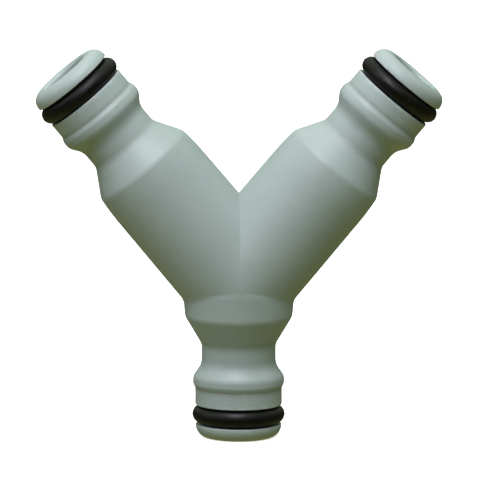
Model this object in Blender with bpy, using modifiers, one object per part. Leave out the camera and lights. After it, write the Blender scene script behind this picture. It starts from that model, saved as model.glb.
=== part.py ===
"""Two-way hose splitter: a Y-shaped plastic moulding with three quick-connect spigots.

Metres, +Z up, +X to the right, +Y away from the front. The part stands upright on the end
face of its inlet spigot, whose centre is the origin. The arms lie in the XZ plane.
"""
import math

import bpy
from mathutils import Matrix, Vector

MM = 0.001

# Layout of the three axes, which meet at the junction.
OUTLET_TILT = math.radians(40.0)    # from the vertical to each outlet's axis
OUTLET_LENGTH = 51.7 * MM           # junction to an outlet's end face
INLET_LENGTH = 30.4 * MM            # junction to the inlet's end face
ARM_OVERRUN = 4.0 * MM              # how far an arm runs on past the junction, inside the collar

# Spigot, the same three times. Distances are measured from its end face.
NOSE_RADIUS = 8.1 * MM
NOSE_ROUNDING = 2.3 * MM            # of the end face's outer edge
GROOVE_START = 2.6 * MM
GROOVE_WIDTH = 3.7 * MM
GROOVE_RADIUS = 5.45 * MM           # to the bottom of the groove
LAND_RADIUS = 8.2 * MM              # plain band behind the O-ring
RIDGE_START = 9.6 * MM
RIDGE_RADIUS = 8.6 * MM             # ridge that the hose connector's claws grip
RIDGE_ROUNDING = 0.3 * MM
RIDGE_END = 11.8 * MM
NECK_START = 13.9 * MM
NECK_END = 17.9 * MM
NECK_RADIUS = 7.0 * MM
NECK_ROUNDING = 2.5 * MM            # of the hollows at both ends of the neck
SHOULDER = 23.2 * MM                # edge between the cone and the arm
SHOULDER_RADIUS = 10.17 * MM
SHOULDER_ROUNDING = 1.2 * MM
COLLAR_END = 26.8 * MM              # where the slight cone behind an arm's shoulder ends
COLLAR_RADIUS = 10.48 * MM
ARM_RADIUS = 10.66 * MM             # at the junction, where an arm is widest
INLET_COLLAR_END = 28.0 * MM        # the same on the inlet
INLET_COLLAR_RADIUS = 10.58 * MM    # from there to the junction, slightly inside the arms

# Tapered bores, left by core pins that meet at the junction.
BORE_RADIUS = 4.4 * MM              # at every mouth
OUTLET_BORE_INNER_RADIUS = 4.3 * MM
INLET_BORE_INNER_RADIUS = 4.2 * MM
MOUTH_ROUNDING = 0.8 * MM           # of the edge between a bore and its end face
OUTLET_PIN_OVERRUN = 2.0 * MM       # how far the outlet core pins run past the junction
INLET_PIN_OVERRUN = 0.8 * MM
CUTTER_MARGIN = 1.0 * MM            # cutters past the end faces

# O-rings, 11.5 mm inside diameter and 3 mm section, clear of the groove all round.
RING_INNER_RADIUS = 5.75 * MM
RING_SECTION_RADIUS = 1.5 * MM
RING_DISTANCE = GROOVE_START + GROOVE_WIDTH / 2

# Facets
ROUND_STEPS = 48                    # around every turned shape
RING_SECTION_STEPS = 12             # around an O-ring's section
ARC_STEP = math.radians(25.0)       # along a rounded corner of a profile
MERGE_DISTANCE = 0.01 * MM
SMOOTH_ANGLE = math.radians(35.0)

# Materials, as linear colours
PLASTIC_COLOUR = (0.36, 0.41, 0.40)
PLASTIC_ROUGHNESS = 0.45
RUBBER_COLOUR = (0.012, 0.012, 0.012)
RUBBER_ROUGHNESS = 0.4


def clear_scene():
    """Remove every object that the file starts with."""
    for item in list(bpy.data.objects):
        bpy.data.objects.remove(item, do_unlink=True)


def new_collection(name):
    """A collection linked to the scene."""
    collection = bpy.data.collections.new(name)
    bpy.context.scene.collection.children.link(collection)
    return collection


def new_material(name, colour, roughness):
    """A non-metallic Principled material."""
    material = bpy.data.materials.new(name)
    material.use_nodes = True
    shader = material.node_tree.nodes["Principled BSDF"]
    shader.inputs["Base Color"].default_value = (*colour, 1.0)
    shader.inputs["Roughness"].default_value = roughness
    shader.inputs["Metallic"].default_value = 0.0
    return material


def rounded_corner(before, corner, after, size):
    """Points of an arc of radius size that rounds a corner between two straight runs."""
    arriving = (corner - before).normalized()
    leaving = (after - corner).normalized()
    turn = leaving.angle_signed(arriving)
    start = corner - arriving * size * math.tan(abs(turn) / 2)
    inward = Vector((-arriving.y, arriving.x)) * math.copysign(size, turn)
    centre = start + inward
    steps = max(1, math.ceil(abs(turn) / ARC_STEP))
    points = []
    for index in range(steps + 1):
        angle = turn * index / steps
        spoke = -inward
        spoke.rotate(Matrix.Rotation(angle, 2))
        points.append(centre + spoke)
    return points


def rounded_profile(corners):
    """Turn (radius, distance, rounding) corners into (radius, distance) points."""
    places = [Vector(corner[:2]) for corner in corners]
    points = [places[0]]
    for index in range(1, len(corners) - 1):
        rounding = corners[index][2]
        if rounding:
            points += rounded_corner(*places[index - 1:index + 2], rounding)
        else:
            points.append(places[index])
    points.append(places[-1])
    return [(point.x, point.y) for point in points]


def spigot_corners():
    """Corners along the outside of a spigot, from the middle of its end face to its shoulder."""
    groove_end = GROOVE_START + GROOVE_WIDTH
    return [
        (0.0, 0.0, 0.0),
        (NOSE_RADIUS, 0.0, NOSE_ROUNDING),
        (NOSE_RADIUS, GROOVE_START, 0.0),
        (GROOVE_RADIUS, GROOVE_START, 0.0),
        (GROOVE_RADIUS, groove_end, 0.0),
        (LAND_RADIUS, groove_end, 0.0),
        (LAND_RADIUS, RIDGE_START, 0.0),
        (RIDGE_RADIUS, RIDGE_START, RIDGE_ROUNDING),
        (RIDGE_RADIUS, RIDGE_END, RIDGE_ROUNDING),
        (NECK_RADIUS, NECK_START, NECK_ROUNDING),
        (NECK_RADIUS, NECK_END, NECK_ROUNDING),
        (SHOULDER_RADIUS, SHOULDER, SHOULDER_ROUNDING),
    ]


def turned_solid(name, profile, length, collection):
    """Turn a (radius, distance) profile about local Z, its end face at the top, at length."""
    mesh = bpy.data.meshes.new(name)
    points = [(radius, 0.0, length - distance) for radius, distance in profile]
    edges = [(index, index + 1) for index in range(len(points) - 1)]
    mesh.from_pydata(points, edges, [])
    solid = bpy.data.objects.new(name, mesh)
    collection.objects.link(solid)
    screw = solid.modifiers.new("turn", "SCREW")
    screw.axis = "Z"
    screw.angle = 2 * math.pi
    screw.steps = ROUND_STEPS
    screw.render_steps = ROUND_STEPS
    screw.use_merge_vertices = True
    screw.merge_threshold = MERGE_DISTANCE
    return solid


def outlet_pair(name, profile, junction, collection):
    """A turned solid along the right outlet's axis, cut at the middle plane and mirrored."""
    solid = turned_solid(name, profile, OUTLET_LENGTH, collection)
    solid.parent = junction
    solid.rotation_euler.y = OUTLET_TILT
    mirror = solid.modifiers.new("left_and_right", "MIRROR")
    mirror.use_axis = (True, False, False)
    mirror.use_bisect_axis = (True, False, False)
    mirror.bisect_threshold = MERGE_DISTANCE
    mirror.merge_threshold = MERGE_DISTANCE
    mirror.mirror_object = junction
    return solid


def inlet_single(name, profile, junction, collection):
    """A turned solid along the inlet's axis, which points straight down."""
    solid = turned_solid(name, profile, INLET_LENGTH, collection)
    solid.parent = junction
    solid.rotation_euler.y = math.pi
    return solid


def core_pin_profile(inner_radius, length, overrun):
    """A tapered core pin's (radius, distance) points, from outside the end face inward.

    Two chords stand for the rounded mouth, and the outer one runs on past the end face.
    """
    taper = (inner_radius - BORE_RADIUS) / length
    chord = MOUTH_ROUNDING * math.sin(math.pi / 4)
    middle = (BORE_RADIUS + MOUTH_ROUNDING - chord, MOUTH_ROUNDING - chord)
    flare = chord / middle[1]
    return [
        (0.0, -CUTTER_MARGIN),
        (BORE_RADIUS + MOUTH_ROUNDING + CUTTER_MARGIN * flare, -CUTTER_MARGIN),
        middle,
        (BORE_RADIUS + taper * MOUTH_ROUNDING, MOUTH_ROUNDING),
        (inner_radius + taper * overrun, length + overrun),
        (0.0, length + overrun),
    ]


def as_helper(solid):
    """Mark a solid that only shapes another one."""
    solid.hide_render = True
    solid.display_type = "WIRE"


def boolean(target, other, operation):
    """Join another solid to the target, or cut it away."""
    modifier = target.modifiers.new(other.name, "BOOLEAN")
    modifier.operation = operation
    modifier.solver = "EXACT"
    modifier.object = other


def build_body(junction, parts, cutters, plastic):
    """The whole moulding: two mirrored arms, the inlet with its collar, and three bores."""
    arm_profile = rounded_profile(spigot_corners() + [
        (COLLAR_RADIUS, COLLAR_END, 0.0),
        (ARM_RADIUS, OUTLET_LENGTH, 0.0),
        (ARM_RADIUS, OUTLET_LENGTH + ARM_OVERRUN, 0.0),
        (0.0, OUTLET_LENGTH + ARM_OVERRUN, 0.0),
    ])
    inlet_profile = rounded_profile(spigot_corners() + [
        (INLET_COLLAR_RADIUS, INLET_COLLAR_END, 0.0),
        (INLET_COLLAR_RADIUS, INLET_LENGTH, 0.0),
        (0.0, INLET_LENGTH, 0.0),
    ])
    body = outlet_pair("splitter_body", arm_profile, junction, parts)
    inlet = inlet_single("inlet_outside", inlet_profile, junction, cutters)
    outlet_pins = outlet_pair(
        "outlet_core_pins",
        core_pin_profile(OUTLET_BORE_INNER_RADIUS, OUTLET_LENGTH, OUTLET_PIN_OVERRUN),
        junction, cutters)
    inlet_pin = inlet_single(
        "inlet_core_pin",
        core_pin_profile(INLET_BORE_INNER_RADIUS, INLET_LENGTH, INLET_PIN_OVERRUN),
        junction, cutters)
    for helper in (inlet, outlet_pins, inlet_pin):
        as_helper(helper)
    boolean(outlet_pins, inlet_pin, "UNION")
    boolean(body, inlet, "UNION")
    boolean(body, outlet_pins, "DIFFERENCE")
    body.data.materials.append(plastic)
    return body


def build_ring(name, tilt, length, junction, parts, rubber):
    """An O-ring centred in the groove of the spigot whose axis is tilted about Y by tilt."""
    direction = Vector((math.sin(tilt), 0.0, math.cos(tilt)))
    bpy.ops.mesh.primitive_torus_add(
        major_segments=ROUND_STEPS,
        minor_segments=RING_SECTION_STEPS,
        major_radius=RING_INNER_RADIUS + RING_SECTION_RADIUS,
        minor_radius=RING_SECTION_RADIUS)
    ring = bpy.context.object
    ring.name = name
    ring.data.name = name
    for collection in list(ring.users_collection):
        collection.objects.unlink(ring)
    parts.objects.link(ring)
    ring.parent = junction
    ring.location = direction * (length - RING_DISTANCE)
    ring.rotation_euler.y = tilt
    ring.data.shade_smooth()
    ring.data.materials.append(rubber)
    return ring


def shade_round(solid):
    """Smooth shading that keeps the turned edges crisp, applied after the last Boolean."""
    depsgraph = bpy.context.evaluated_depsgraph_get()
    finished = bpy.data.meshes.new_from_object(solid.evaluated_get(depsgraph))
    solid.modifiers.clear()
    solid.data = finished
    finished.name = solid.name
    finished.shade_smooth()
    finished.set_sharp_from_angle(angle=SMOOTH_ANGLE)


def main():
    clear_scene()
    parts = new_collection("hose_splitter")
    cutters = new_collection("cutters")
    plastic = new_material("grey_plastic", PLASTIC_COLOUR, PLASTIC_ROUGHNESS)
    rubber = new_material("black_rubber", RUBBER_COLOUR, RUBBER_ROUGHNESS)

    junction = bpy.data.objects.new("junction", None)
    parts.objects.link(junction)
    junction.location.z = INLET_LENGTH

    body = build_body(junction, parts, cutters, plastic)
    bpy.context.view_layer.update()
    shade_round(body)

    build_ring("inlet_o_ring", math.pi, INLET_LENGTH, junction, parts, rubber)
    build_ring("left_o_ring", -OUTLET_TILT, OUTLET_LENGTH, junction, parts, rubber)
    build_ring("right_o_ring", OUTLET_TILT, OUTLET_LENGTH, junction, parts, rubber)


main()
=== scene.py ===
"""Looks of the two-way hose splitter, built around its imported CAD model.

Lengths below are in millimetres, in the CAD's frame: +Z up along the inlet, the arms in the XZ
plane, and the junction of the three axes above the origin. Meshes are scaled to metres at the end.
"""
import math

import bpy
import numpy as np
from mathutils import Matrix, Vector


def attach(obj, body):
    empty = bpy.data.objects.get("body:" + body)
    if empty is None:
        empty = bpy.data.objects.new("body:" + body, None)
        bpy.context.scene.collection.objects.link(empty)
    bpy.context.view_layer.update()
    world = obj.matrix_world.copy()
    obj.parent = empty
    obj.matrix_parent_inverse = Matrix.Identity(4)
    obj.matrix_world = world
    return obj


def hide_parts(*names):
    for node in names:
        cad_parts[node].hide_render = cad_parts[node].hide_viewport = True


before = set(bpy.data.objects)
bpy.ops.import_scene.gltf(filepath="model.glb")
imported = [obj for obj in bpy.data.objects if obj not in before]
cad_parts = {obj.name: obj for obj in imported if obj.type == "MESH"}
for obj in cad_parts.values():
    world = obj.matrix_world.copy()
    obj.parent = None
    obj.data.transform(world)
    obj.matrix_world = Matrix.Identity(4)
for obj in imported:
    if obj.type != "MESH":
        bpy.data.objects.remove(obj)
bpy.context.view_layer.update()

MM = 0.001

# Layout, as in the CAD. Distances along a branch run from its end face towards the junction.
TILT = math.radians(40.0)           # of the outlets, from vertical
OUTLET_LENGTH = 51.7
INLET_LENGTH = 30.4

# Spigot, the same on all three branches.
BORE_RADIUS = 4.4
MOUTH_ROUNDING = 0.8
NOSE_RADIUS = 8.1
NOSE_ROUNDING = 2.3
GROOVE_START = 2.6
GROOVE_WIDTH = 3.7
GROOVE_END = GROOVE_START + GROOVE_WIDTH
GROOVE_RADIUS = 5.45
LAND_RADIUS = 8.2
LAND_END = 9.45
RIDGE_RADIUS = 8.62
RIDGE_START = 10.35
RIDGE_END = 11.8
NECK_RADIUS = 7.0
NECK_START = 14.1
NECK_END = 17.9
SHOULDER_RADIUS = 10.17
SHOULDER = 23.2

# Its outline, from the bore's mouth to the shoulder: (radius, distance, rounding) corners.
SPIGOT_CORNERS = [
    (BORE_RADIUS + MOUTH_ROUNDING, 0.0, 0.0),
    (NOSE_RADIUS, 0.0, NOSE_ROUNDING),
    (NOSE_RADIUS, GROOVE_START, 0.15),
    (GROOVE_RADIUS, GROOVE_START, 0.25),
    (GROOVE_RADIUS, GROOVE_END, 0.25),
    (LAND_RADIUS, GROOVE_END, 0.18),
    (LAND_RADIUS, LAND_END, 0.7),
    (RIDGE_RADIUS, RIDGE_START, 1.3),
    (RIDGE_RADIUS, RIDGE_END, 2.0),
    (NECK_RADIUS, NECK_START, 3.2),
    (NECK_RADIUS, NECK_END, 2.5),
    (SHOULDER_RADIUS, SHOULDER, 2.6),
]

# Barrels behind the shoulder: slopes of the radius, and where and over how far they change.
BARREL_START = 24.0
COLLAR_END = 26.8
COLLAR_SLOPE = 0.086
ARM_SLOPE = 0.0072
ARM_CHANGE = 0.5
INLET_COLLAR_END = 28.0
INLET_CHANGE = 0.12
DOME_START = 29.4                   # the inlet's hidden top domes over inside the arms
DOME = 0.05

# Bores, tapered by their core pins.
BORE_START = 6.0                    # the mouths' outlines end here
OUTLET_BORE_INNER_RADIUS = 4.3
INLET_BORE_INNER_RADIUS = 4.2

# Fillets where the branches meet.
CROTCH_FILLET = 0.12
COLLAR_FILLET = 2.2
BORE_FILLET = 0.3

# Parting line of the mould, a fine ridge in the plane of the arms.
PARTING_HEIGHT = 0.035
PARTING_HALF_WIDTH = 0.12
PARTING_ANGLES = (0.006, 0.013, 0.035)      # columns beside it
FACING_END = 0.9                    # it stops where a normal's cosine with the axis is this

# O-rings, pressed slightly oval by their grooves.
RING_RADIUS = 7.13
RING_RADIAL = 1.62
RING_AXIAL = 1.65
RING_FLASH = 0.03
RING_FLASH_ANGLE = 0.05             # radians round the section
RING_DISTANCE = GROOVE_START + GROOVE_WIDTH / 2
LEFT_RING_SHIFT = 0.15              # this one has slipped back in its groove

# Edge wear, and painted shade in the outline's hollows and in the creases where the branches meet:
# how far along the outline they spread, and how dark the painted shade in those creases is.
WEAR_AND_SHADE_REACH = 0.35
SHARPEST_BEND = 4.0                 # a sharper edge wears no more
CREASE_SHADE = 2.5

# Mesh density.
ARC_STEP = math.radians(9.0)
LONGEST_RUN = 0.7
QUARTER_COLUMNS = 34
INNER_SIDE_COLUMNS = 44
OUTLET_BARREL_ROWS = (40, 1.8)      # how many, and how much closer they lie near the crease
INLET_BARREL_ROWS = (18, 1.3)
RING_AROUND = 160
RING_SECTION = 48
SETTLE_STEPS = 8
CREASE_STEPS = 60
LOWEST_CREASE = 8.0                 # the collar meets the arms within this of the junction
ON_PLANE = 1e-9                     # a point this near a mirror plane lies on it
WELD = 1e-7                         # metres

# Colours, linear.
PLASTIC_TONES = (0.325, 0.390, 0.374, 1.0), (0.350, 0.415, 0.400, 1.0)
PLASTIC_SPECKLE = (0.25, 0.30, 0.28, 1.0)
# Painted shade: the dark olive grey that darkens the plastic in its hollows and creases.
PLASTIC_PAINTED_SHADE = (0.16, 0.17, 0.13, 1.0)
PLASTIC_SCUFF = (0.50, 0.55, 0.54, 1.0)
RUBBER_TONES = (0.0014, 0.0012, 0.0010, 1.0), (0.0026, 0.0022, 0.0018, 1.0)
RUBBER_DUST = (0.016, 0.014, 0.009, 1.0)
FLOOR_TONES = (0.90, 0.90, 0.90, 1.0), (0.93, 0.93, 0.93, 1.0)
FLOOR_GLOW = 0.72

# Studio. Lamps are (name, place, size, power), with places and sizes in metres.
LAMP_COLOUR = (1.0, 0.95, 1.12)
LAMPS = (
    ("key", (-0.15, -0.62, 0.82), 0.5, 6.2),
    ("overhead", (-0.1, -0.3, 1.0), 0.4, 3.2),
    ("left_fill", (-0.85, -0.15, 0.55), 0.6, 1.25),
)
LIGHT_FROM_BELOW = (0.43, 0.44, 0.16, 1.0)
LIGHT_AT_LEVEL = (0.0, 0.0, 0.0, 1.0)
LIGHT_FROM_ABOVE = (1.02, 1.16, 0.93, 1.0)
FLOOR_HEIGHT = -0.02
FLOOR_HALF_WIDTH = 12000.0

# Camera, with its distance in metres. It stands to the left of straight ahead.
CAMERA_ELEVATION = math.radians(8.85)
CAMERA_AZIMUTH = math.radians(1.4)
CAMERA_ROLL = math.radians(-0.11)
CAMERA_DISTANCE = 2.161
CAMERA_LENS = 854.0
AIM_RIGHT = 0.23                    # from the junction to the view's centre
AIM_UP = 7.31

# The junction, which the body's points are worked out from, and the branches' directions.
JUNCTION = np.array([0.0, 0.0, INLET_LENGTH])
OUTLET_AXIS = np.array([math.sin(TILT), 0.0, math.cos(TILT)])       # the right one's
OUTLET_SIDE = np.array([math.cos(TILT), 0.0, -math.sin(TILT)])      # across it, downward
INLET_AXIS = np.array([0.0, 0.0, -1.0])
MIRROR = np.array([-1.0, 1.0, 1.0])


# ---------------------------------------------------------------- profiles

def profile(corners):
    """Rounded outline through (radius, distance, rounding) corners.

    Returns radii, distances, outward normals and the bend of the outline, all per point. The
    plane is handled as complex numbers, radius + i * distance.
    """
    places = [complex(radius, distance) for radius, distance, _ in corners]
    points, tangents, bends = [places[0]], [places[1] - places[0]], [0.0]
    for index in range(1, len(corners) - 1):
        arriving = places[index] - places[index - 1]
        leaving = places[index + 1] - places[index]
        arriving /= abs(arriving)
        leaving /= abs(leaving)
        turn = np.angle(leaving / arriving)
        size = corners[index][2]
        side = 1j * arriving * math.copysign(size, turn)
        start = places[index] - arriving * size * math.tan(abs(turn) / 2)
        steps = max(2, math.ceil(abs(turn) / ARC_STEP))
        for angle in np.linspace(0.0, turn, steps + 1):
            points.append(start + side - side * np.exp(1j * angle))
            tangents.append(arriving * np.exp(1j * angle))
            bends.append(turn / (size * abs(turn)))
    points.append(places[-1])
    tangents.append(places[-1] - places[-2])
    bends.append(0.0)
    return filled_runs(np.array(points), np.array(tangents), np.array(bends))


def filled_runs(points, tangents, bends):
    """Split the outline's long straight runs, and work out how exposed each point is."""
    new_points, new_tangents, new_bends = [points[0]], [tangents[0]], [bends[0]]
    for index in range(1, len(points)):
        gap = points[index] - points[index - 1]
        pieces = max(1, math.ceil(abs(gap) / LONGEST_RUN))
        for step in range(1, pieces):
            new_points.append(points[index - 1] + gap * step / pieces)
            new_tangents.append(gap)
            new_bends.append(0.0)
        new_points.append(points[index])
        new_tangents.append(tangents[index])
        new_bends.append(bends[index])
    points = np.array(new_points)
    tangents = np.array(new_tangents)
    normals = -1j * tangents / np.abs(tangents)
    along = np.concatenate([[0.0], np.cumsum(np.abs(np.diff(points)))])
    exposure = exposed(along, np.array(new_bends))
    return points.real, points.imag, normals, exposure


def exposed(along, bends):
    """Bend of the outline, averaged over its near surroundings: positive on an edge, negative in a
    hollow, where it becomes painted shade.
    """
    step = 0.05
    side = 30
    even = np.arange(0.0, along[-1], step)
    bend = np.interp(even, along, np.clip(bends, -SHARPEST_BEND, SHARPEST_BEND))
    kernel = np.exp(-0.5 * (np.arange(-side, side + 1) * step / WEAR_AND_SHADE_REACH) ** 2)
    kernel /= kernel.sum()
    smooth = np.convolve(np.pad(bend, side, mode="edge"), kernel, mode="valid")
    return np.interp(along, even, smooth)


# ---------------------------------------------------------------- three round branches

def softened(distance, start, change):
    """Zero before start and distance - start after it, changing over smoothly."""
    return change * np.logaddexp(0.0, (distance - start) / change)


def outlet_barrel(distance):
    """Outside radius of an arm behind its shoulder."""
    return (SHOULDER_RADIUS
            + COLLAR_SLOPE * (distance - SHOULDER)
            + (ARM_SLOPE - COLLAR_SLOPE) * softened(distance, COLLAR_END, ARM_CHANGE)
            - ARM_SLOPE * softened(distance, OUTLET_LENGTH, ARM_CHANGE))


def inlet_barrel(distance):
    """Outside radius of the inlet's collar, and of its dome inside the arms."""
    widening = distance - SHOULDER - softened(distance, INLET_COLLAR_END, INLET_CHANGE)
    return (SHOULDER_RADIUS + COLLAR_SLOPE * widening
            - DOME * np.maximum(distance - DOME_START, 0.0) ** 2)


def outlet_bore(distance):
    """Radius of an outlet's bore."""
    return BORE_RADIUS + (OUTLET_BORE_INNER_RADIUS - BORE_RADIUS) * distance / OUTLET_LENGTH


def inlet_bore(distance):
    """Radius of the inlet's bore, and of its dome past the junction."""
    return (BORE_RADIUS + (INLET_BORE_INNER_RADIUS - BORE_RADIUS) * distance / INLET_LENGTH
            - DOME * np.maximum(distance - DOME_START, 0.0) ** 2)


def outlet_points(radius, distance, angle):
    """Points round the right outlet's axis; angle 0 is the lower side and pi the crotch side."""
    radius, distance, angle = np.broadcast_arrays(radius, distance, angle)
    return ((OUTLET_LENGTH - distance)[..., None] * OUTLET_AXIS
            + (radius * np.cos(angle))[..., None] * OUTLET_SIDE
            - (radius * np.sin(angle))[..., None] * np.array([0.0, 1.0, 0.0]))


def inlet_points(radius, distance, angle):
    """Points round the inlet's axis; angle 0 is the right side and pi / 2 the front."""
    radius, distance, angle = np.broadcast_arrays(radius, distance, angle)
    return np.stack([
        radius * np.cos(angle),
        -radius * np.sin(angle),
        distance - INLET_LENGTH], axis=-1)


def unit(vectors):
    """Vectors scaled to length one."""
    return vectors / (np.linalg.norm(vectors, axis=-1, keepdims=True) + 1e-9)


def filleted(first, second, first_outward, second_outward, fillet):
    """The lower of two distances to surfaces, with a fillet in the crease between them.

    The fillet vanishes where the surfaces face the same way.
    """
    width = fillet * (1 - np.sum(first_outward * second_outward, axis=-1))
    width = np.maximum(width, 1e-6)
    overlap = np.maximum(width - np.abs(first - second), 0.0) / width
    return np.minimum(first, second) - overlap ** 2 * width / 4


class Branches:
    """Surface of three round branches that meet at the junction, with filleted creases."""

    def __init__(self, outlet_radius, inlet_radius, crotch_fillet, collar_fillet):
        self.outlet_radius = outlet_radius
        self.inlet_radius = inlet_radius
        self.crotch_fillet = crotch_fillet
        self.collar_fillet = collar_fillet

    def outlet_gap(self, points):
        """How far points lie outside the right outlet's branch."""
        along = points @ OUTLET_AXIS
        across = np.hypot(points @ OUTLET_SIDE, points[..., 1])
        return across - self.outlet_radius(OUTLET_LENGTH - along)

    def inlet_gap(self, points):
        """How far points lie outside the inlet's branch."""
        across = np.hypot(points[..., 0], points[..., 1])
        return across - self.inlet_radius(INLET_LENGTH + points[..., 2])

    def gap(self, points):
        """How far points lie outside all three, fillets included."""
        side = points[..., 0]
        mirrored = points * MIRROR
        right_outward = unit(points - (points @ OUTLET_AXIS)[..., None] * OUTLET_AXIS)
        left_outward = MIRROR * unit(
            mirrored - (mirrored @ OUTLET_AXIS)[..., None] * OUTLET_AXIS)
        arms = filleted(
            np.maximum(self.outlet_gap(points), -side),
            np.maximum(self.outlet_gap(mirrored), side),
            right_outward, left_outward, self.crotch_fillet)
        return filleted(
            arms, self.inlet_gap(points),
            np.where(side[..., None] > 0, right_outward, left_outward),
            unit(points * np.array([1.0, 1.0, 0.0])), self.collar_fillet)

    def slope(self, points):
        """Gradient of the gap, which is the surface's normal before it is scaled."""
        step = 0.002
        return np.stack([
            (self.gap(points + axis) - self.gap(points - axis)) / (2 * step)
            for axis in np.eye(3) * step], axis=-1)

    def settle(self, points):
        """Move points onto the filleted surface; returns them with normals and crease depth."""
        start = points.copy()
        for _ in range(SETTLE_STEPS):
            slope = self.slope(points)
            size = np.sum(slope ** 2, axis=-1, keepdims=True)
            points = points - slope * (self.gap(points)[..., None] / size)
        points[start[..., 0] == 0.0, 0] = 0.0
        points[start[..., 1] == 0.0, 1] = 0.0
        normals = self.slope(points)
        normals /= np.linalg.norm(normals, axis=-1, keepdims=True)
        crease = np.linalg.norm(points - start, axis=-1)
        return points, normals, crease

    def collar_crease(self, angles):
        """Distance along the inlet at which each of its columns meets the right outlet."""
        low = np.full_like(angles, INLET_LENGTH - LOWEST_CREASE)
        high = np.full_like(angles, INLET_LENGTH)
        for _ in range(CREASE_STEPS):
            middle = (low + high) / 2
            points = inlet_points(self.inlet_radius(middle), middle, angles)
            outside = self.outlet_gap(points) > 0
            low = np.where(outside, middle, low)
            high = np.where(outside, high, middle)
        return (low + high) / 2

    def crotch_crease(self, angles):
        """Distance along the right outlet at which its columns meet the middle plane."""
        distance = np.full_like(angles, OUTLET_LENGTH)
        for _ in range(CREASE_STEPS):
            along = -self.outlet_radius(distance) * np.cos(angles) / math.tan(TILT)
            distance = OUTLET_LENGTH - along
        return distance


def column_angles():
    """Angles of a quarter of the inlet's columns, with close ones beside the parting line."""
    even = np.linspace(0.0, math.pi / 2, QUARTER_COLUMNS)
    return np.concatenate([[0.0], PARTING_ANGLES, even[1:]])


def barrel_rows(start, ends, rows):
    """Distances of a barrel's rows, from after start to each column's end."""
    count, crowding = rows
    share = 1 - (1 - np.linspace(0.0, 1.0, count + 1)[1:]) ** crowding
    return start + share[:, None] * (ends - start)[None, :]


def outline_grid(place, outline, barrel_start, mouth_angles, angles):
    """Points, normals, and edge wear and painted shade of an outline turned round its axis.

    The columns' angles change evenly from mouth_angles at the mouth to angles at the barrel.
    """
    radii, distances, normals, exposure = outline
    share = np.clip(distances / barrel_start, 0.0, 1.0)[:, None]
    turned = (1 - share) * mouth_angles + share * angles
    centre = place(0.0, 0.0, turned)
    outward = (place(1.0, 0.0, turned) - centre) * normals.real[:, None, None]
    inward = (place(0.0, 1.0, turned) - centre) * normals.imag[:, None, None]
    return (place(radii[:, None], distances[:, None], turned), outward + inward,
            np.broadcast_to(exposure[:, None], turned.shape))


def quarter(branches, outlines, barrel_start, mouth_angles=None):
    """The front right quarter of a three-branch surface, as grids of points.

    outlines are the outlet's and the inlet's profiles from the mouth to where the barrel starts.
    Returns a list of (points, normals, wear and painted shade) grids and the outlet's column
    angles.
    """
    inlet_angles = column_angles()
    inlet_ends = branches.collar_crease(inlet_angles)
    creases = inlet_points(branches.inlet_radius(inlet_ends), inlet_ends, inlet_angles)
    lower = np.arctan2(-creases[:, 1], creases @ OUTLET_SIDE)
    lower_ends = OUTLET_LENGTH - creases @ OUTLET_AXIS
    upper = np.linspace(lower[-1], math.pi, INNER_SIDE_COLUMNS)[1:-1]
    upper = np.concatenate([upper, math.pi - np.array(PARTING_ANGLES[::-1]), [math.pi]])
    outlet_angles = np.concatenate([lower, upper])
    outlet_ends = np.concatenate([lower_ends, branches.crotch_crease(upper)])
    if mouth_angles is None:
        mouth_angles = outlet_angles

    grids = []
    branch_data = (
        (outlet_points, branches.outlet_radius, outlines[0],
         mouth_angles, outlet_angles, outlet_ends, OUTLET_BARREL_ROWS),
        (inlet_points, branches.inlet_radius, outlines[1],
         inlet_angles, inlet_angles, inlet_ends, INLET_BARREL_ROWS),
    )
    for place, radius_at, outline, mouths, angles, ends, rows in branch_data:
        spigot, spigot_normals, wear_and_shade = outline_grid(place, outline, barrel_start, mouths, angles)
        distances = barrel_rows(barrel_start, ends, rows)
        barrel = place(radius_at(distances), distances, angles[None, :])
        if place is outlet_points:
            barrel[-1, :len(lower)] = creases
            barrel[-1, len(lower) - 1:, 0] = 0.0
        else:
            barrel[-1] = creases
        barrel[np.abs(barrel) < ON_PLANE] = 0.0
        barrel, barrel_normals, crease = branches.settle(barrel)
        grids.append((
            np.concatenate([spigot, barrel]),
            np.concatenate([spigot_normals, barrel_normals]),
            # The settled barrel's crease depth becomes painted shade, darkest in the fillet creases
            # where the branches meet.
            np.concatenate([wear_and_shade, -CREASE_SHADE * crease])))
    return grids, outlet_angles


def add_parting_line(grids):
    """Raise the columns in the plane of the arms into a fine ridge, except on the end faces."""
    for (points, normals, _), axis in zip(grids, (OUTLET_AXIS, INLET_AXIS)):
        share = np.clip(1 - np.abs(points[..., 1]) / PARTING_HALF_WIDTH, 0.0, 1.0)
        on_side = np.abs(normals @ axis) < FACING_END
        points += normals * (PARTING_HEIGHT * share * on_side)[..., None]


def quads(rows, columns):
    """Faces of a grid of points numbered row by row."""
    index = np.arange(rows * columns).reshape(rows, columns)
    return np.stack([
        index[:-1, :-1], index[:-1, 1:], index[1:, 1:], index[1:, :-1]], axis=-1).reshape(-1, 4)


def turned_outward(points, normals, faces):
    """The faces of one grid, all turned over if the grid points against its normals."""
    diagonals = points[faces[:, 2]] - points[faces[:, 0]], points[faces[:, 3]] - points[faces[:, 1]]
    facing = np.sum(np.cross(*diagonals) * normals[faces].mean(axis=1))
    return faces if facing > 0 else faces[:, ::-1]


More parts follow.
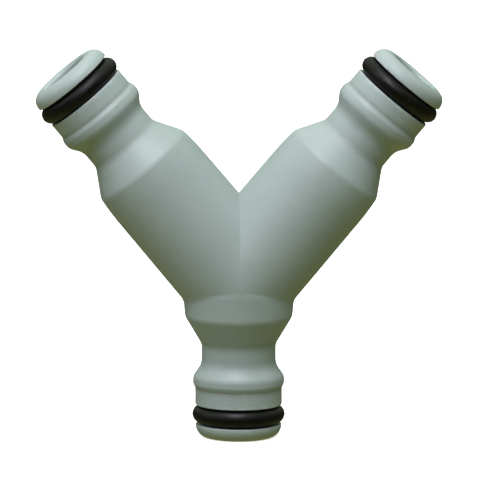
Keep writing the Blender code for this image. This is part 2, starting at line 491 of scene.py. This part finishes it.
def mirrored_four_ways(grids):
    """Points, normals, edge wear and painted shade, and faces of the whole surface, from its front
    right quarter.
    """
    points, normals, wear_and_shade, faces = [], [], [], []
    count = 0
    for across in (1.0, -1.0):
        for along in (1.0, -1.0):
            flip = np.array([across, along, 1.0])
            for grid_points, grid_normals, grid_wear_and_shade in grids:
                rows, columns = grid_wear_and_shade.shape
                points.append((grid_points * flip).reshape(-1, 3))
                normals.append((grid_normals * flip).reshape(-1, 3))
                faces.append(count + turned_outward(
                    points[-1], normals[-1], quads(rows, columns)))
                wear_and_shade.append(grid_wear_and_shade.reshape(-1))
                count += rows * columns
    return (np.concatenate(points), np.concatenate(normals),
            np.concatenate(wear_and_shade), np.concatenate(faces))


def welded(points, normals, wear_and_shade, faces):
    """Join points at the same place, and average their normals."""
    keys = np.round(points * MM / WELD).astype(np.int64)
    _, first, places = np.unique(keys, axis=0, return_index=True, return_inverse=True)
    places = places.reshape(-1)
    summed = np.zeros((len(first), 3))
    np.add.at(summed, places, normals)
    summed /= np.linalg.norm(summed, axis=1, keepdims=True)
    return points[first], summed, wear_and_shade[first], places[faces]


def new_mesh_object(name, points, faces, normals=None, wear_and_shade=None):
    """A smooth-shaded mesh in metres, with its own normals, and edge wear and painted shade, where
    given.
    """
    mesh = bpy.data.meshes.new(name)
    mesh.from_pydata((points * MM).tolist(), [], faces.tolist())
    mesh.shade_smooth()
    if wear_and_shade is not None:
        # Edge wear where the value is positive, painted shade where it is negative.
        mesh.attributes.new("wear_and_shade", "FLOAT", "POINT").data.foreach_set("value", wear_and_shade)
    if normals is not None:
        mesh.normals_split_custom_set_from_vertices(normals.tolist())
    mesh.validate()
    made = bpy.data.objects.new(name, mesh)
    bpy.context.scene.collection.objects.link(made)
    return made


def build_body():
    """The moulding: its outside, and the bores that open at the three end faces."""
    outside = Branches(outlet_barrel, inlet_barrel, CROTCH_FILLET, COLLAR_FILLET)
    outlines = [
        profile(SPIGOT_CORNERS + [(barrel(BARREL_START), BARREL_START, 0.0)])
        for barrel in (outlet_barrel, inlet_barrel)]
    outer_grids, outlet_angles = quarter(outside, outlines, BARREL_START)
    add_parting_line(outer_grids)

    inside = Branches(outlet_bore, inlet_bore, BORE_FILLET, BORE_FILLET)
    outlines = []
    mouth_arc = MOUTH_ROUNDING * 0.999      # a hair short, so that no run has length zero
    for radius_at in (outlet_bore, inlet_bore):
        radii, distances, normals, exposure = profile([
            (BORE_RADIUS + MOUTH_ROUNDING, 0.0, 0.0),
            (BORE_RADIUS, 0.0, mouth_arc),
            (radius_at(BORE_START), BORE_START, 0.0)])
        outlines.append((radii, distances, normals, -exposure))
    inner_grids, _ = quarter(inside, outlines, BORE_START, outlet_angles)
    inner_grids = [(points, -normals, wear_and_shade) for points, normals, wear_and_shade in inner_grids]

    points, normals, wear_and_shade, faces = mirrored_four_ways(outer_grids + inner_grids)
    points, normals, wear_and_shade, faces = welded(points + JUNCTION, normals, wear_and_shade, faces)
    return new_mesh_object("splitter_body_moulding", points, faces, normals, wear_and_shade)


def build_ring(name, axis, height):
    """An O-ring round a spigot's axis, at a height above the junction."""
    around = np.linspace(0.0, 2 * math.pi, RING_AROUND, endpoint=False)
    section = np.linspace(0.0, 2 * math.pi, RING_SECTION, endpoint=False)
    flash = RING_FLASH * np.exp(-(np.angle(np.exp(1j * section)) / RING_FLASH_ANGLE) ** 2)
    radius = RING_RADIUS + (RING_RADIAL + flash) * np.cos(section)
    rise = RING_AXIAL * np.sin(section)
    points = np.stack([
        radius[None, :] * np.cos(around)[:, None],
        radius[None, :] * np.sin(around)[:, None],
        np.broadcast_to(rise, (len(around), len(section)))], axis=-1).reshape(-1, 3)
    index = np.arange(len(points)).reshape(len(around), len(section))
    ahead = np.roll(index, -1, axis=0)
    faces = np.stack([
        index, ahead, np.roll(ahead, -1, axis=1), np.roll(index, -1, axis=1)], axis=-1)
    ring = new_mesh_object(name, points, faces.reshape(-1, 4))
    turn = Vector((0.0, 0.0, 1.0)).rotation_difference(Vector(axis))
    centre = Vector(JUNCTION + axis * height) * MM
    ring.data.transform(Matrix.Translation(centre) @ turn.to_matrix().to_4x4())
    return ring


# ---------------------------------------------------------------- materials

class Nodes:
    """Short calls for building a material's node tree."""

    def __init__(self, name):
        self.material = bpy.data.materials.new(name)
        self.material.use_nodes = True
        self.tree = self.material.node_tree
        self.shader = self.tree.nodes["Principled BSDF"]
        self.position = self.tree.nodes.new("ShaderNodeTexCoord").outputs["Object"]

    def link(self, source, target):
        """Join an output to an input, or set the input to a number or colour."""
        if isinstance(source, bpy.types.NodeSocket):
            self.tree.links.new(source, target)
        else:
            target.default_value = source

    def noise(self, scale, detail=2.0, roughness=0.5):
        """Noise in the object's own space, scale per metre."""
        node = self.tree.nodes.new("ShaderNodeTexNoise")
        self.link(self.position, node.inputs["Vector"])
        node.inputs["Scale"].default_value = scale
        node.inputs["Detail"].default_value = detail
        node.inputs["Roughness"].default_value = roughness
        return node.outputs["Fac"]

    def remap(self, value, low, high, to_low, to_high):
        """Linear map from one range to another, clamped."""
        node = self.tree.nodes.new("ShaderNodeMapRange")
        for socket, number in zip(
                ("Value", "From Min", "From Max", "To Min", "To Max"),
                (value, low, high, to_low, to_high)):
            self.link(number, node.inputs[socket])
        return node.outputs["Result"]

    def math(self, operation, first, second):
        """One arithmetic step."""
        node = self.tree.nodes.new("ShaderNodeMath")
        node.operation = operation
        self.link(first, node.inputs[0])
        self.link(second, node.inputs[1])
        return node.outputs[0]

    def mix(self, share, first, second):
        """Mix of two colours."""
        node = self.tree.nodes.new("ShaderNodeMix")
        node.data_type = "RGBA"
        self.link(share, node.inputs["Factor"])
        self.link(first, node.inputs["A"])
        self.link(second, node.inputs["B"])
        return node.outputs["Result"]

    def attribute(self, name):
        """A number stored on the mesh."""
        node = self.tree.nodes.new("ShaderNodeAttribute")
        node.attribute_name = name
        return node.outputs["Fac"]

    def bump(self, height, strength, distance, below=None):
        """Bump in metres, on top of another bump where one is given."""
        node = self.tree.nodes.new("ShaderNodeBump")
        self.link(height, node.inputs["Height"])
        node.inputs["Strength"].default_value = strength
        node.inputs["Distance"].default_value = distance
        if below is not None:
            self.link(below, node.inputs["Normal"])
        return node.outputs["Normal"]


def plastic_material():
    """Matt light grey moulded plastic with a slight green tint, scuffed on its edges, with painted
    shade darkening its hollows and creases.
    """
    nodes = Nodes("moulded_grey_plastic")
    cloudy = nodes.noise(90.0, 3.0, 0.55)
    speckle = nodes.noise(2600.0, 2.0, 0.6)
    wear_and_shade = nodes.attribute("wear_and_shade")
    patchy = nodes.remap(nodes.noise(420.0, 4.0, 0.65), 0.38, 0.62, 0.0, 1.0)

    colour = nodes.mix(nodes.remap(cloudy, 0.35, 0.65, 0.0, 1.0), *PLASTIC_TONES)
    colour = nodes.mix(nodes.remap(speckle, 0.3, 0.75, 0.0, 0.16), colour, PLASTIC_SPECKLE)
    # Painted shade in the hollows and creases, where the value runs negative, broken up in patches;
    # it also raises the roughness there a little.
    crease_shade = nodes.math("MULTIPLY", nodes.remap(wear_and_shade, -0.1, -1.2, 0.0, 0.55),
                       nodes.remap(patchy, 0.0, 1.0, 0.6, 1.0))
    colour = nodes.mix(crease_shade, colour, PLASTIC_PAINTED_SHADE)
    scuff = nodes.math("MULTIPLY", nodes.remap(wear_and_shade, 0.5, 1.8, 0.0, 0.4), patchy)
    colour = nodes.mix(scuff, colour, PLASTIC_SCUFF)
    nodes.link(colour, nodes.shader.inputs["Base Color"])

    rough = nodes.remap(nodes.noise(700.0, 3.0, 0.6), 0.3, 0.7, 0.42, 0.54)
    nodes.link(nodes.math("ADD", rough, nodes.math("MULTIPLY", crease_shade, 0.2)),
               nodes.shader.inputs["Roughness"])
    texture = nodes.bump(nodes.noise(6500.0), 0.25, 0.00002)
    ripple = nodes.bump(nodes.noise(260.0, 1.0), 0.3, 0.00008, texture)
    nodes.link(ripple, nodes.shader.inputs["Normal"])
    nodes.shader.inputs["IOR"].default_value = 1.49
    nodes.shader.inputs["Subsurface Weight"].default_value = 0.4
    nodes.shader.inputs["Subsurface Radius"].default_value = (1.0, 1.0, 0.9)
    nodes.shader.inputs["Subsurface Scale"].default_value = 0.002
    return nodes.material


def rubber_material():
    """Black nitrile rubber, slightly greased, with dust."""
    nodes = Nodes("black_nitrile_rubber")
    dust = nodes.remap(nodes.noise(1500.0, 4.0, 0.7), 0.5, 0.8, 0.0, 0.3)
    colour = nodes.mix(nodes.remap(nodes.noise(300.0), 0.35, 0.65, 0.0, 1.0), *RUBBER_TONES)
    colour = nodes.mix(dust, colour, RUBBER_DUST)
    nodes.link(colour, nodes.shader.inputs["Base Color"])
    nodes.link(nodes.remap(nodes.noise(900.0, 3.0), 0.3, 0.7, 0.34, 0.55),
               nodes.shader.inputs["Roughness"])
    grain = nodes.bump(nodes.noise(5000.0), 0.3, 0.00002)
    nodes.link(grain, nodes.shader.inputs["Normal"])
    nodes.shader.inputs["IOR"].default_value = 1.5
    nodes.shader.inputs["Specular IOR Level"].default_value = 0.22
    return nodes.material


def floor_material():
    """Plain pale matt floor, a light table that is lit from below."""
    nodes = Nodes("pale_floor")
    nodes.link(nodes.mix(nodes.noise(6.0), *FLOOR_TONES), nodes.shader.inputs["Base Color"])
    nodes.shader.inputs["Roughness"].default_value = 0.9
    nodes.shader.inputs["Specular IOR Level"].default_value = 0.1
    nodes.shader.inputs["Emission Color"].default_value = (1.0, 1.0, 1.0, 1.0)
    nodes.shader.inputs["Emission Strength"].default_value = FLOOR_GLOW
    return nodes.material


# ---------------------------------------------------------------- studio

def build_floor():
    """A wide pale floor under the part. The studio surroundings light the part in its place."""
    corners = np.array([
        (across * FLOOR_HALF_WIDTH, along * FLOOR_HALF_WIDTH, FLOOR_HEIGHT)
        for across, along in ((-1, -1), (1, -1), (1, 1), (-1, 1))])
    floor = new_mesh_object("studio_floor", corners, np.array([[0, 1, 2, 3]]))
    floor.data.materials.append(floor_material())
    floor.visible_diffuse = False
    floor.visible_glossy = False


def area_light(name, place, size, power):
    """A square soft light that shines on the part. Sizes and places in metres."""
    data = bpy.data.lights.new(name, "AREA")
    data.shape = "SQUARE"
    data.size = size
    data.energy = power
    data.color = LAMP_COLOUR
    light = bpy.data.objects.new(name, data)
    light.location = place
    light.rotation_mode = "QUATERNION"
    light.rotation_quaternion = (Vector(JUNCTION) * MM - Vector(place)).to_track_quat("-Z", "Y")
    light.visible_camera = False
    bpy.context.scene.collection.objects.link(light)


def build_world():
    """Studio surroundings that shine from above and below, and fade towards the horizon."""
    world = bpy.data.worlds.new("studio")
    world.use_nodes = True
    bpy.context.scene.world = world
    tree = world.node_tree
    background = tree.nodes["Background"]
    coordinates = tree.nodes.new("ShaderNodeTexCoord")
    split = tree.nodes.new("ShaderNodeSeparateXYZ")
    height = tree.nodes.new("ShaderNodeMapRange")
    ramp = tree.nodes.new("ShaderNodeValToRGB")
    height.inputs["From Min"].default_value = -1.0
    tree.links.new(coordinates.outputs["Generated"], split.inputs[0])
    tree.links.new(split.outputs["Z"], height.inputs["Value"])
    tree.links.new(height.outputs["Result"], ramp.inputs["Fac"])
    tree.links.new(ramp.outputs["Color"], background.inputs["Color"])
    ramp.color_ramp.elements[0].color = LIGHT_FROM_BELOW
    ramp.color_ramp.elements[1].color = LIGHT_FROM_ABOVE
    ramp.color_ramp.elements.new(0.5).color = LIGHT_AT_LEVEL


def build_camera():
    """A long lens, slightly above the part and almost straight in front of it."""
    level_right = Vector((math.cos(CAMERA_AZIMUTH), -math.sin(CAMERA_AZIMUTH), 0.0))
    level_ahead = Vector((math.sin(CAMERA_AZIMUTH), math.cos(CAMERA_AZIMUTH), 0.0))
    upward = Vector((0.0, 0.0, 1.0))
    ahead = level_ahead * math.cos(CAMERA_ELEVATION) - upward * math.sin(CAMERA_ELEVATION)
    above = level_ahead * math.sin(CAMERA_ELEVATION) + upward * math.cos(CAMERA_ELEVATION)
    right = level_right * math.cos(CAMERA_ROLL) - above * math.sin(CAMERA_ROLL)
    top = level_right * math.sin(CAMERA_ROLL) + above * math.cos(CAMERA_ROLL)

    data = bpy.data.cameras.new("camera")
    data.sensor_width = 36.0
    data.lens = CAMERA_LENS
    data.clip_start = 0.1
    data.clip_end = 50.0
    camera = bpy.data.objects.new("camera", data)
    bpy.context.scene.collection.objects.link(camera)
    target = Vector(JUNCTION) * MM + right * (AIM_RIGHT * MM) + top * (AIM_UP * MM)
    matrix = Matrix((right, top, -ahead)).transposed().to_4x4()
    matrix.translation = target - ahead * CAMERA_DISTANCE
    camera.matrix_world = matrix
    bpy.context.scene.camera = camera


# ---------------------------------------------------------------- scene

plastic = plastic_material()
rubber = rubber_material()

body = build_body()
body.data.materials.append(plastic)
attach(body, "root")
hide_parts("splitter_body")

outlet_ring_height = OUTLET_LENGTH - RING_DISTANCE
for ring_name, node, axis, height in (
        ("inlet_o_ring_rubber", "inlet_o_ring", INLET_AXIS, INLET_LENGTH - RING_DISTANCE),
        ("left_o_ring_rubber", "left_o_ring",
         MIRROR * OUTLET_AXIS, outlet_ring_height - LEFT_RING_SHIFT),
        ("right_o_ring_rubber", "right_o_ring", OUTLET_AXIS, outlet_ring_height)):
    ring = build_ring(ring_name, axis, height)
    ring.data.materials.append(rubber)
    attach(ring, "root")
    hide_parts(node)

build_floor()
build_world()
for lamp in LAMPS:
    area_light(*lamp)
build_camera()
bpy.context.scene.view_settings.view_transform = "Standard"
